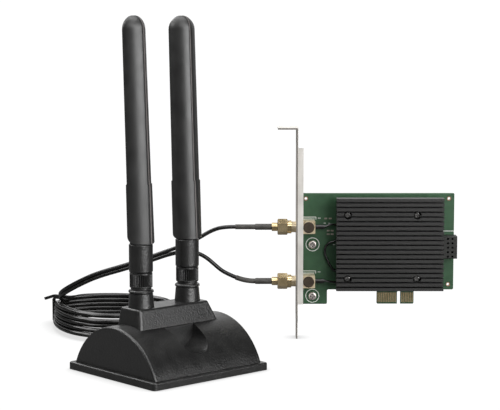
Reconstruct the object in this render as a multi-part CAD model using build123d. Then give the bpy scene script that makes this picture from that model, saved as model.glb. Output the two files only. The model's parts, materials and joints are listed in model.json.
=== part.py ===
from build123d import *
import math
import os

# Wireless adapter card with its antenna stand. Millimetres, +Z up.
# Origin: centre of the stand's foot on the surface that it stands on.
# +X runs along the card, away from its bracket; +Y points to the card's solder side.

# Shared fits
PART_GAP = 0.1
RUN_CLEARANCE = 0.06
SPIN_GAP = 0.2
PIN_GRIP = 0.02
CUT_MARGIN = 1.0

# Stand
STAND_YAW = 42.0
FOOT_LENGTH = 75.5
FOOT_WIDTH = 71.4
FOOT_TOP = 4.0
FOOT_CORNER_R = 2.0
FOOT_EDGE_R = 0.9
PAD_THICKNESS = 0.8
PAD_RECESS = 0.12
PAD_MARGIN = 4.0
PAD_CORNER_R = 4.0
DOME_RIM = 2.5
DOME_HEIGHT = 22.3
DOME_WALL = 2.4
DOME_EDGE_R = 1.4
SCOOP_R = 9.0
SCOOP_FLOOR = 12.6
SCOOP_FLARE = 0.9
BALLAST_THICKNESS = 4.0
BALLAST_LENGTH = 40.0
BALLAST_WIDTH = 30.0
FOOT_SCREW_X = 27.0
FOOT_SCREW_Y = 20.0
FOOT_SCREW_R = 1.2
FOOT_SCREW_HEAD_R = 2.2
FOOT_SCREW_HEAD_T = 1.4
FOOT_SCREW_REACH = 6.0
FOOT_SCREW_HOLE = 7.0
BOSS_R = 3.0
BLOCK_X = -1.6
BLOCK_Y = 0.7
BLOCK_TOP = 34.7
BLOCK_SKIRT = 23.0
BLOCK_TOP_LENGTH = 45.6
BLOCK_TOP_WIDTH = 16.0
BLOCK_SKIRT_X = -0.3
BLOCK_SKIRT_Y = -0.9
BLOCK_SKIRT_LENGTH = 52.5
BLOCK_SKIRT_WIDTH = 19.9
BLOCK_CORNER_R = 1.6
BLOCK_EDGE_R = 1.3
BLOCK_ROOF = 3.2
BLOCK_WALL = 2.2
DOCK_SCREW_R = 1.2
DOCK_SCREW_HEAD_R = 2.2
DOCK_SCREW_HEAD_T = 1.4
DOCK_SCREW_REACH = 5.0
GROMMET_WIDTH = 9.0
GROMMET_HEIGHT = 6.0
GROMMET_NOSE = 6.0
GROMMET_EDGE_R = 1.2

# Antennas
ANTENNA_SPACING = 30.5
ANTENNA_YAW = {"left": -2.0, "right": -28.0}
POST_TOP = 43.7
POST_R_BOTTOM = 6.65
POST_R_TOP = 6.05
POST_CHAMFER = 0.5
POST_RIM_R = 6.45
POST_RIM_T = 1.6
POST_GROOVE = 0.35
DOCK_JACK_R = 3.1
DOCK_JACK_TOP = 49.0
DOCK_JACK_FLANGE_R = 4.0
DOCK_JACK_FLANGE_T = 1.8
COLLAR_BOTTOM = 43.9
COLLAR_TOP = 52.6
COLLAR_R = 5.85
COLLAR_NECK_R = 5.2
COLLAR_NECK_T = 0.9
COLLAR_RIM = 0.9
COLLAR_ROOF = 1.5
KNURL_COUNT = 30
KNURL_DEPTH = 0.45
INSERT_R = 4.2
INSERT_LENGTH = 4.8
STEM_TOP = 67.0
STEM_R = 6.1
STEM_EDGE_R = 0.5
SPIGOT_R = 3.3
TONGUE_THICKNESS = 4.0
TONGUE_R = 3.4
HINGE_GAP = 0.4
SLOT_CLEARANCE = 0.35
PIN_R = 1.25
PIN_LENGTH = 9.0
PIN_X = -2.0
KNUCKLE_WIDTH = 13.3
KNUCKLE_DEPTH = 11.6
SEAM_Z = 97.4
SEAM_WIDTH = 12.7
SEAM_DEPTH = 12.6
COVER_WIDTH = 11.9
COVER_DEPTH = 12.2
COVER_TOP_WIDTH = 11.2
COVER_TOP_DEPTH = 12.2
COVER_TOP = 182.0
COVER_TIP_R = 7.0
TIP_SWEEP = 84.0
TIP_STEPS = 7
TIP_FLAT = 0.6
TIP_ROUND = 0.42
COVER_WALL = 1.3
SECTION_CORNER_R = 3.2
STUB_LENGTH = 10.0
RADIATOR_R = 2.2
RADIATOR_LENGTH = 45.0
WHIP_R = 0.6
WHIP_LENGTH = 20.0
LEAN = 1.5

# Card, in its own frame: x from the bracket's outer face, y from the board's front face, z from the surface
CARD_X = 68.45
CARD_Y = 91.5
BRACKET_HEIGHT = 120.02
BRACKET_FRONT = 14.3
BRACKET_WIDTH = 18.42
SHEET = 0.9
FLANGE_DEPTH = 11.4
NOTCH_WIDTH = 4.42
NOTCH_DEPTH = 6.4
NOTCH_X = 5.3
LIP_WIDTH = 2.9
LIP_BOTTOM = 20.5
LIP_TOP = 108.8
TONGUE_WIDTH = 10.19
TONGUE_SHOULDER = 9.0
SHOULDER_RISE = 3.5
TAB_LENGTH = 13.5
TAB_HEIGHT = 8.0
BOARD_T = 1.57
BOARD_LEFT = 2.6
BOARD_RIGHT = 90.2
BOARD_BOTTOM = 26.6
BOARD_TOP = 82.1
BOARD_CORNER_R = 0.8
FOOT_TAB_RIGHT = 18.0
FOOT_TAB_BOTTOM = 18.2
EDGE_LEFT = 46.4
EDGE_RIGHT = 67.6
EDGE_DROP = 8.25
KEY_LEFT = 58.05
KEY_WIDTH = 1.9
KEY_HEIGHT = 7.5
EDGE_CHAMFER = 0.5
CONTACT_PITCH = 1.0
CONTACT_WIDTH = 0.7
CONTACT_HEIGHT = 5.6
CONTACT_T = 0.05
CORNER_HOLE_R = 0.75
CORNER_HOLE_INSET = 3.1
LAND_R = 1.6
LAND_T = 0.05
SCREW_X = 9.6
SCREW_Z = (52.7, 23.0)
SCREW_R = 1.45
SCREW_HEAD_R = 2.4
SCREW_HEAD_T = 1.7
SCREW_REACH = 3.2
CROSS_WIDTH = 0.7
CROSS_LENGTH = 2.8
CROSS_DEPTH = 0.9

HEATSINK_LEFT = 22.6
HEATSINK_RIGHT = 83.0
HEATSINK_BOTTOM = 27.9
HEATSINK_LIFT = 6.6
HEATSINK_BASE = 2.5
FIN_COUNT = 20
FIN_PITCH = 2.668
FIN_WIDTH = 1.72
FIN_HEIGHT = 4.5
SINK_SCREW_X = (28.9, 68.0)
SINK_SCREW_Z = (34.6, 70.8)
SINK_SCREW_R = 1.25
SINK_SCREW_HEAD_R = 1.9
SINK_SCREW_HEAD_T = 1.6
SINK_POCKET_R = 2.3
STANDOFF_R = 2.5
STANDOFF_BORE = 4.5

MODULE_LEFT = 37.5
MODULE_WIDTH = 22.0
MODULE_BOTTOM = 38.0
MODULE_HEIGHT = 30.0
MODULE_LIFT = 3.0
MODULE_T = 1.0
SHIELD_T = 2.0
SHIELD_MARGIN = 3.0
SHIELD_DROP = 4.0
HEAT_PAD_MARGIN = 1.0
SOCKET_OVERHANG = 1.5
SOCKET_HEIGHT = 6.0
SOCKET_GRIP = 3.0
SOCKET_TOP = 5.2
MODULE_POST_R = 2.2
MODULE_POST_INSET = 2.8
MODULE_SCREW_R = 0.9
MODULE_SCREW_HEAD_R = 1.9
MODULE_SCREW_HEAD_T = 0.7
SNAP_R = 1.3
SNAP_T = 1.0
SNAP_INSET = 2.0
SNAP_SIDE = 4.0

JACK_Z = (63.3, 32.2)
JACK_SIDE = 7.3
JACK_LEFT = 3.5
JACK_AXIS = 3.9
JACK_HEIGHT = 7.4
JACK_EDGE_R = 0.6
JACK_BARREL_R = 3.1
JACK_REACH = 9.2
JACK_CAP_R = 3.15
JACK_CAP_T = 0.7
JACK_TAIL_R = 1.25
JACK_TAIL_LENGTH = 5.4
PIGTAIL_R = 0.65

SOCKET_RIGHT = 91.1
SOCKET_LOW = 45.6
SOCKET_HIGH = 58.3
SOCKET_DEPTH = 8.5
SOCKET_CHAMFER = 0.4
PIN_ROWS = 5
PIN_PITCH = 2.54
PIN_CAVITY = 1.1
PIN_CAVITY_DEPTH = 6.0

CHIPS = [(18.5, 60.6), (20.7, 60.6), (18.5, 58.6), (20.7, 58.6), (17.0, 67.6), (19.6, 67.6)]
CHIP_LENGTH = 1.6
CHIP_WIDTH = 0.8
CHIP_T = 0.5

# Coax plugs, x measured to the left from the bracket's outer face
NUT_ACROSS_FLATS = 7.94
NUT_HEX_LENGTH = 5.7
NUT_COLLAR_LENGTH = 2.2
NUT_COLLAR_R = 3.75
NUT_FRONT = 2.6
NUT_BACK_WALL = 0.8
NUT_CHAMFER = 0.5
FERRULE_R = 2.4
FERRULE_LENGTH = 3.1
PLUG_FLANGE_R = 3.0
PLUG_FLANGE_T = 0.4
BOOT_THICK_R = 1.75
BOOT_THICK_LENGTH = 9.4
BOOT_THIN_R = 1.42
BOOT_THIN_LENGTH = 11.3
LOWER_BOOT_BEND = 22.0
COAX_R = 1.15

# Coil of the pair of leads, and its tie
COIL_X = -40.65
COIL_Y = 115.0
COIL_OUTER_R = 38.5
COIL_HOLE_R = 17.0
COIL_TIE_WIDTH = 8.0
COIL_BOTTOM = 1.2
COIL_TOP = 15.5
COIL_EDGE_R = 3.0
TIE_ANGLE = 170.0
TIE_WIDTH = 4.0
TIE_T = 0.75
TIE_TAIL = 6.0
TIE_TAIL_WIDTH = 2.4
TIE_TAIL_T = 1.2
PAIR_HALF = 1.2
BEND_SHARE = 0.45

# Routes of the leads: the pair from the coil up to where it parts, each lead from there to its plug,
# and the pair on the surface between the coil and the stand
PAIR_ROUTE = [(-67.15, 137, 13.0), (-71.65, 128, 16.5), (-67.15, 119.5, 21.0), (-58.15, 113.5, 26.6),
              (-46.65, 107.5, 32.6), (-28.65, 98, 38.9), (-14.15, 91.5, 44.6), (-3.95, 88.5, 48.5)]
UPPER_ROUTE = [(4.65, 88, 52.7), (12.85, 87.6, 56.6), (20.35, 87.6, 61.2)]
LOWER_ROUTE = [(4.85, 88, 49.2), (12.35, 87.6, 48.6), (18.15, 87.6, 45.4), (22.95, 87.6, 41.0)]
STAND_ROUTE = [(-37.5, 45, 4.8), (-40.2, 55, 3.0), (-40.6, 66, 2.8), (-36.5, 75.5, 4.0), (-28.5, 82, 5.5)]
BOOT_RUN = 6.9
GROMMET_RUN = 9.8

# Routes of the thin inner leads on the board, in the card's frame, from the jack's tail to the module
UPPER_PIGTAIL = [(20.0, -2.9, 64.7), (24.2, -1.6, 63.9), (26.3, -1.8, 58.8), (23.0, -1.6, 55.0),
                 (17.6, -1.9, 53.4), (16.2, -1.6, 48.8), (18.2, -1.8, 43.2), (21.4, -1.6, 37.9),
                 (25.4, -1.8, 37.4), (29.6, -1.6, 41.0), (32.4, -2.0, 47.0), (32.8, -3.0, 55.0),
                 (35.0, -4.8, 62.6)]
LOWER_PIGTAIL = [(20.6, -3.0, 31.6), (26.0, -1.6, 30.2), (34.0, -1.8, 29.6), (44.0, -1.6, 29.9),
                 (54.0, -1.8, 30.8), (61.4, -1.6, 32.8), (64.0, -1.8, 39.2), (63.8, -2.0, 48.0),
                 (63.2, -3.2, 57.0), (60.8, -4.8, 63.6)]


def at(x=0.0, y=0.0, z=0.0):
    return Location((x, y, z))


def upright(radius, low, high):
    """Cylinder about the vertical axis from low to high."""
    return at(z=low) * Cylinder(radius, high - low, align=(Align.CENTER, Align.CENTER, Align.MIN))


def slab(x0, x1, y0, y1, z0, z1):
    """Box between two corners."""
    return at((x0 + x1) / 2, (y0 + y1) / 2, (z0 + z1) / 2) * Box(x1 - x0, y1 - y0, z1 - z0)


def along_x(radius, x0, x1, y, z):
    """Cylinder along x from x0 to x1."""
    rod = Cylinder(radius, x1 - x0, align=(Align.CENTER, Align.CENTER, Align.MIN))
    return Location((x0, y, z), (0, 90, 0)) * rod


def along_y(radius, y0, y1, x, z):
    """Cylinder along y from y0 to y1."""
    rod = Cylinder(radius, y1 - y0, align=(Align.CENTER, Align.CENTER, Align.MIN))
    return Location((x, y0, z), (-90, 0, 0)) * rod


def rounded_plate(length, width, corner, low, high):
    return at(z=low) * extrude(RectangleRounded(length, width, corner), high - low)


def turned(profile):
    """Solid of revolution about the vertical axis from (radius, height) points."""
    outline = make_face(Polyline(*[(r, 0, z) for r, z in profile], close=True))
    return revolve(outline, Axis.Z)


def corner_radii(points):
    """Largest smooth radius at each inner corner of a route."""
    radii = []
    for before, here, after in zip(points, points[1:], points[2:]):
        first = Vector(here) - Vector(before)
        second = Vector(after) - Vector(here)
        half_turn = math.radians(first.get_angle(second)) / 2
        radii.append(BEND_SHARE * min(first.length, second.length) / math.tan(half_turn))
    return radii


def tube(name, points, radius):
    """Round tube along straight runs joined by tangent arcs; prints its radii and its volume."""
    radii = corner_radii(points)
    path = FilletPolyline(*points, radius=radii)
    section = Plane(origin=path @ 0, z_dir=path % 0) * Circle(radius)
    solid = sweep(section, path=path)
    expected = math.pi * radius ** 2 * path.length
    print(name, "radii", [round(r, 1) for r in radii], "length", round(path.length, 1),
          "volume ratio", round(solid.volume / expected, 4))
    return solid


def group(place, solids):
    """Several separate solids as one node."""
    return Compound(children=[place * solid for solid in solids])


NODES = {}

# Stand

STAND = Location((0, 0, 0), (0, 0, STAND_YAW))
DOME_LENGTH = FOOT_LENGTH - 2 * DOME_RIM
DOME_HALF = FOOT_WIDTH / 2 - DOME_RIM
DOME_R = (DOME_HALF ** 2 + DOME_HEIGHT ** 2) / (2 * DOME_HEIGHT)
DOME_AXIS_Z = FOOT_TOP + DOME_HEIGHT - DOME_R
DOME_CREST = FOOT_TOP + DOME_HEIGHT
FOOT_SCREWS = [(sx * FOOT_SCREW_X, sy * FOOT_SCREW_Y) for sx in (-1, 1) for sy in (-1, 1)]
DOCK_SCREWS = [(BLOCK_X, BLOCK_Y)]
DOCK_SEAT = DOME_AXIS_Z + math.sqrt((DOME_R - DOME_WALL) ** 2 - (BLOCK_Y + DOCK_SCREW_HEAD_R) ** 2)


def vault(radius, length):
    """Part of a lying cylinder above the foot's top."""
    rod = along_x(radius, -length / 2, length / 2, 0, DOME_AXIS_Z)
    return rod & slab(-length, length, -radius, radius, FOOT_TOP, FOOT_TOP + 2 * radius)


def scoop(extra):
    """Thumb trough with a round floor, open to the dome's front and its crest, grown by extra."""
    r = SCOOP_R + extra
    middle = SCOOP_FLOOR + SCOOP_R
    back = BLOCK_SKIRT_Y - BLOCK_SKIRT_WIDTH / 2 + extra
    outline = Polyline((-r, 0, middle), (-r - SCOOP_FLARE, 0, DOME_CREST + CUT_MARGIN),
                       (r + SCOOP_FLARE, 0, DOME_CREST + CUT_MARGIN), (r, 0, middle), close=True)
    trough = extrude(make_face(outline), back + FOOT_WIDTH, dir=(0, 1, 0))
    trough = at(0, -FOOT_WIDTH, 0) * trough + along_y(r, -FOOT_WIDTH, back, 0, middle)
    return at(BLOCK_X) * trough


def make_foot():
    plate = rounded_plate(FOOT_LENGTH, FOOT_WIDTH, FOOT_CORNER_R, PAD_RECESS, FOOT_TOP)
    plate = fillet(plate.faces().sort_by(Axis.Z)[-1].edges(), FOOT_EDGE_R)
    pad_length = FOOT_LENGTH - 2 * PAD_MARGIN
    pad_width = FOOT_WIDTH - 2 * PAD_MARGIN
    pad = rounded_plate(pad_length, pad_width, PAD_CORNER_R, 0, PAD_THICKNESS)
    plate -= rounded_plate(pad_length + 2 * PART_GAP, pad_width + 2 * PART_GAP, PAD_CORNER_R,
                           0, PAD_THICKNESS)
    for x, y in FOOT_SCREWS:
        plate -= at(x, y) * upright(FOOT_SCREW_R + PART_GAP, 0, FOOT_TOP)
        plate -= at(x, y) * upright(FOOT_SCREW_HEAD_R + PART_GAP, 0, PAD_THICKNESS + FOOT_SCREW_HEAD_T)
    NODES["stand_foot"] = STAND * plate
    NODES["foot_pad"] = STAND * pad
    ballast = rounded_plate(BALLAST_LENGTH, BALLAST_WIDTH, PAD_CORNER_R, FOOT_TOP,
                            FOOT_TOP + BALLAST_THICKNESS)
    NODES["ballast_plate"] = STAND * ballast


def make_dome():
    outer = vault(DOME_R, DOME_LENGTH)
    ends = outer.faces().sort_by(Axis.X)
    rims = [e for f in (ends[0], ends[-1]) for e in f.edges() if e.geom_type == GeomType.CIRCLE]
    outer = fillet(rims, DOME_EDGE_R)
    hollow = vault(DOME_R - DOME_WALL, DOME_LENGTH - 2 * DOME_WALL) - scoop(DOME_WALL)
    for x, y in FOOT_SCREWS:
        hollow -= at(x, y) * upright(BOSS_R, FOOT_TOP, DOME_CREST)
    shell = outer - hollow - scoop(0)
    for x, y in FOOT_SCREWS:
        shell -= at(x, y) * upright(FOOT_SCREW_R + RUN_CLEARANCE, FOOT_TOP,
                                    FOOT_TOP + FOOT_SCREW_HOLE)
    for x, y in DOCK_SCREWS:
        shell -= at(x, y) * upright(DOCK_SCREW_R + PART_GAP, FOOT_TOP, DOME_CREST + CUT_MARGIN)
    half = GROMMET_WIDTH / 2 + PART_GAP
    shell -= slab(-half, half, DOME_HALF / 2, FOOT_WIDTH, FOOT_TOP, FOOT_TOP + GROMMET_HEIGHT + PART_GAP)
    NODES["stand_dome"] = STAND * shell


def make_screws(name, places, low, reach, radius, head_radius, head):
    """Pan screws that point up, head under the seat at low."""
    screws = []
    for x, y in places:
        screw = upright(head_radius, low - head, low) + upright(radius, low - head, low + reach)
        screws.append(at(x, y) * screw)
    NODES[name] = group(STAND, screws)


def make_block():
    skirt = RectangleRounded(BLOCK_SKIRT_LENGTH, BLOCK_SKIRT_WIDTH, BLOCK_CORNER_R)
    top = RectangleRounded(BLOCK_TOP_LENGTH, BLOCK_TOP_WIDTH, BLOCK_CORNER_R)
    block = loft([at(BLOCK_SKIRT_X, BLOCK_SKIRT_Y, BLOCK_SKIRT) * skirt,
                  at(BLOCK_X, BLOCK_Y, BLOCK_TOP) * top], ruled=True)
    block = fillet(block.faces().sort_by(Axis.Z)[-1].edges(), BLOCK_EDGE_R)
    block -= along_x(DOME_R + PART_GAP / 2, -FOOT_LENGTH, FOOT_LENGTH, 0, DOME_AXIS_Z)
    roof = BLOCK_TOP - BLOCK_ROOF
    pocket_half = BLOCK_TOP_WIDTH / 2 - BLOCK_WALL
    rim = POST_TOP - POST_RIM_T
    for label, side in (("left", -1), ("right", 1)):
        place = dock_place(side)
        block -= place * slab(-pocket_half, pocket_half, -pocket_half, pocket_half, BLOCK_SKIRT, roof)
        post = turned([(0, BLOCK_TOP - BLOCK_EDGE_R), (POST_R_BOTTOM, BLOCK_TOP - BLOCK_EDGE_R),
                       (POST_R_BOTTOM, BLOCK_TOP), (POST_R_TOP, rim - POST_GROOVE),
                       (POST_R_TOP - POST_GROOVE, rim), (POST_RIM_R, rim + POST_GROOVE),
                       (POST_RIM_R, POST_TOP - POST_CHAMFER), (POST_RIM_R - POST_CHAMFER, POST_TOP),
                       (0, POST_TOP)])
        block += place * post
        block -= place * upright(DOCK_JACK_R + PART_GAP, roof, POST_TOP)
        jack = upright(DOCK_JACK_R, roof - DOCK_JACK_FLANGE_T, DOCK_JACK_TOP)
        jack += upright(DOCK_JACK_FLANGE_R, roof - DOCK_JACK_FLANGE_T, roof)
        NODES[label + "_dock_jack"] = STAND * (place * jack)
    for x, y in DOCK_SCREWS:
        block -= at(x, y) * upright(DOCK_SCREW_R + RUN_CLEARANCE, BLOCK_SKIRT,
                                    DOME_CREST + DOCK_SCREW_REACH)
    NODES["dock_block"] = STAND * block


def dock_place(side):
    """Foot of the left (-1) or right (1) antenna on the stand."""
    return at(BLOCK_X + side * ANTENNA_SPACING / 2, BLOCK_Y)


def make_grommet():
    half = GROMMET_WIDTH / 2
    nose = DOME_HALF + GROMMET_NOSE
    body = slab(-half, half, DOME_HALF - 3 * DOME_WALL, nose, FOOT_TOP, FOOT_TOP + GROMMET_HEIGHT)
    body = fillet(body.faces().sort_by(Axis.Y)[-1].edges(), GROMMET_EDGE_R)
    NODES["cable_grommet"] = STAND * body


make_foot()
make_dome()
make_screws("foot_screws", FOOT_SCREWS, PAD_THICKNESS + FOOT_SCREW_HEAD_T, FOOT_SCREW_REACH,
            FOOT_SCREW_R, FOOT_SCREW_HEAD_R, FOOT_SCREW_HEAD_T)
make_block()
make_screws("dock_screw", DOCK_SCREWS, DOCK_SEAT, DOCK_SCREW_REACH,
            DOCK_SCREW_R, DOCK_SCREW_HEAD_R, DOCK_SCREW_HEAD_T)
make_grommet()

# Antennas

KNUCKLE_R = KNUCKLE_WIDTH / 2 + PIN_X
PIN_Z = STEM_TOP + HINGE_GAP + KNUCKLE_R
SLOT_HALF = TONGUE_THICKNESS / 2 + SPIN_GAP
SLOT_SIDE = TONGUE_R + SLOT_CLEARANCE


def section(width, depth, z):
    return at(z=z) * RectangleRounded(width, depth, SECTION_CORNER_R)


def make_collar():
    knurl_low = COLLAR_BOTTOM + COLLAR_NECK_T
    body = turned([(0, COLLAR_BOTTOM), (COLLAR_NECK_R, COLLAR_BOTTOM), (COLLAR_NECK_R, knurl_low),
                   (COLLAR_R, knurl_low), (COLLAR_R, COLLAR_TOP), (0, COLLAR_TOP)])
    rims = [e for e in body.edges().filter_by(GeomType.CIRCLE) if e.radius > COLLAR_R - RUN_CLEARANCE]
    body = chamfer(rims, COLLAR_RIM / 3)
    groove = slab(-KNURL_DEPTH, KNURL_DEPTH, -KNURL_DEPTH, KNURL_DEPTH,
                  knurl_low + COLLAR_RIM, COLLAR_TOP - COLLAR_RIM)
    groove = Rotation(0, 0, 45) * groove
    grooves = [Rotation(0, 0, 360 * i / KNURL_COUNT) * (at(COLLAR_R) * groove) for i in range(KNURL_COUNT)]
    body -= grooves
    body -= upright(INSERT_R + RUN_CLEARANCE, COLLAR_BOTTOM, COLLAR_TOP - COLLAR_ROOF)
    body -= upright(SPIGOT_R + SPIN_GAP, COLLAR_BOTTOM, COLLAR_TOP)
    insert_top = COLLAR_TOP - COLLAR_ROOF
    insert = upright(INSERT_R, insert_top - INSERT_LENGTH, insert_top)
    insert -= upright(SPIGOT_R + SPIN_GAP, insert_top - INSERT_LENGTH, insert_top)
    return body, insert


def make_stem():
    body = upright(STEM_R, COLLAR_TOP + SPIN_GAP, STEM_TOP)
    body = fillet(body.edges().filter_by(GeomType.CIRCLE), STEM_EDGE_R)
    body += upright(SPIGOT_R, DOCK_JACK_TOP + SPIN_GAP, COLLAR_TOP + 2 * SPIN_GAP)
    half = TONGUE_THICKNESS / 2
    tongue = slab(PIN_X - TONGUE_R, PIN_X + TONGUE_R, -half, half, STEM_TOP - STEM_EDGE_R, PIN_Z)
    tongue += along_y(TONGUE_R, -half, half, PIN_X, PIN_Z)
    body += tongue
    body -= along_y(PIN_R + RUN_CLEARANCE, -half, half, PIN_X, PIN_Z)
    return body


def make_knuckle():
    """Hinge end of the blade: rounded about the pin on the side it folds to, square on the other."""
    low = PIN_Z - KNUCKLE_R
    body = loft([section(KNUCKLE_WIDTH, KNUCKLE_DEPTH, low),
                 section(SEAM_WIDTH, SEAM_DEPTH, SEAM_Z)], ruled=True)
    wide = KNUCKLE_WIDTH
    below = slab(-wide, PIN_X, -wide, wide, low - wide, PIN_Z)
    body -= below - along_y(KNUCKLE_R, -wide, wide, PIN_X, PIN_Z)
    body -= slab(-wide, PIN_X + SLOT_SIDE, -SLOT_HALF, SLOT_HALF, low - wide, PIN_Z + SLOT_SIDE)
    pin_half = PIN_LENGTH / 2 + RUN_CLEARANCE
    body -= along_y(PIN_R + PIN_GRIP, -pin_half, pin_half, PIN_X, PIN_Z)
    inner_width = COVER_TOP_WIDTH - 2 * COVER_WALL - 2 * PART_GAP
    inner_depth = COVER_TOP_DEPTH - 2 * COVER_WALL - 2 * PART_GAP
    corner = SECTION_CORNER_R - COVER_WALL
    body += rounded_plate(inner_width, inner_depth, corner, SEAM_Z - COVER_WALL, SEAM_Z + STUB_LENGTH)
    return body


def make_cover():
    shoulder = COVER_TOP - COVER_TIP_R
    faces = [section(COVER_WIDTH, COVER_DEPTH, SEAM_Z)]
    for step in range(TIP_STEPS + 1):
        turn = math.radians(TIP_SWEEP * step / TIP_STEPS)
        shrink = 1 - math.cos(turn)
        width = COVER_TOP_WIDTH - (COVER_TOP_WIDTH - 2 * TIP_FLAT) * shrink
        depth = COVER_TOP_DEPTH - (COVER_TOP_DEPTH - 2 * TIP_FLAT) * shrink
        corner = min(SECTION_CORNER_R, TIP_ROUND * depth, TIP_ROUND * width)
        rise = COVER_TIP_R * math.sin(turn) / math.sin(math.radians(TIP_SWEEP))
        faces.append(at(z=shoulder + rise) * RectangleRounded(width, depth, corner))
    body = loft(faces, ruled=True)
    inner_width = COVER_TOP_WIDTH - 2 * COVER_WALL
    inner_depth = COVER_TOP_DEPTH - 2 * COVER_WALL
    body -= rounded_plate(inner_width, inner_depth, SECTION_CORNER_R - COVER_WALL,
                          SEAM_Z, shoulder - COVER_WALL)
    return body


def make_radiator():
    low = SEAM_Z + STUB_LENGTH
    return upright(RADIATOR_R, low, low + RADIATOR_LENGTH) + upright(
        WHIP_R, low, low + RADIATOR_LENGTH + WHIP_LENGTH)


def make_antenna(label, side):
    foot = STAND * dock_place(side)
    place = Location((foot.position.X, foot.position.Y, 0), (0, 0, ANTENNA_YAW[label]))
    hinge = Axis((PIN_X, 0, PIN_Z), (0, 1, 0))
    collar, insert = make_collar()
    NODES[label + "_collar"] = place * collar
    NODES[label + "_collar_insert"] = place * insert
    NODES[label + "_stem"] = place * make_stem()
    pin = along_y(PIN_R, -PIN_LENGTH / 2, PIN_LENGTH / 2, PIN_X, PIN_Z)
    NODES[label + "_hinge_pin"] = place * pin
    NODES[label + "_knuckle"] = place * make_knuckle().rotate(hinge, -LEAN)
    NODES[label + "_blade_cover"] = place * make_cover().rotate(hinge, -LEAN)
    NODES[label + "_radiator"] = place * make_radiator().rotate(hinge, -LEAN)


make_antenna("left", -1)
make_antenna("right", 1)

# Card

CARD = at(CARD_X, CARD_Y)
BRACKET_BACK = BRACKET_WIDTH - BRACKET_FRONT
HEATSINK_TOP = HEATSINK_BOTTOM + (FIN_COUNT - 1) * FIN_PITCH + FIN_WIDTH
SINK_FACE = HEATSINK_LIFT + HEATSINK_BASE
SINK_SCREWS = [(x, z) for x in SINK_SCREW_X for z in SINK_SCREW_Z]
EDGE_BOTTOM = BOARD_BOTTOM - EDGE_DROP


def make_bracket():
    plate = slab(0, SHEET, -BRACKET_FRONT, BRACKET_BACK, TONGUE_SHOULDER + SHOULDER_RISE, BRACKET_HEIGHT)
    middle = BRACKET_BACK - BRACKET_WIDTH / 2
    half = TONGUE_WIDTH / 2
    tongue = Polyline((0, middle - half, 0), (0, middle + half, 0),
                      (0, middle + half, TONGUE_SHOULDER),
                      (0, BRACKET_BACK, TONGUE_SHOULDER + SHOULDER_RISE),
                      (0, -BRACKET_FRONT, TONGUE_SHOULDER + SHOULDER_RISE),
                      (0, middle - half, TONGUE_SHOULDER), close=True)
    plate += extrude(make_face(tongue), SHEET, dir=(1, 0, 0))
    plate += slab(SHEET - FLANGE_DEPTH, SHEET, -BRACKET_FRONT, BRACKET_BACK,
                  BRACKET_HEIGHT - SHEET, BRACKET_HEIGHT)
    plate += slab(0, LIP_WIDTH + SHEET, -BRACKET_FRONT, SHEET - BRACKET_FRONT, LIP_BOTTOM, LIP_TOP)
    for z in SCREW_Z:
        tab = slab(0, TAB_LENGTH, BOARD_T, BOARD_T + SHEET, z - TAB_HEIGHT / 2, z + TAB_HEIGHT / 2)
        plate += tab - along_y(SCREW_R + RUN_CLEARANCE, 0, BRACKET_BACK, SCREW_X, z)
    for z in JACK_Z:
        plate -= along_x(JACK_BARREL_R + PART_GAP, 0, SHEET, -JACK_AXIS, z)
    notch_end = BRACKET_BACK - NOTCH_DEPTH + NOTCH_WIDTH / 2
    low = BRACKET_HEIGHT - SHEET
    plate -= at(-NOTCH_X, notch_end) * upright(NOTCH_WIDTH / 2, low, BRACKET_HEIGHT)
    plate -= slab(-NOTCH_X - NOTCH_WIDTH / 2, -NOTCH_X + NOTCH_WIDTH / 2, notch_end, BRACKET_BACK,
                  low, BRACKET_HEIGHT)
    NODES["bracket"] = CARD * plate


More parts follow.
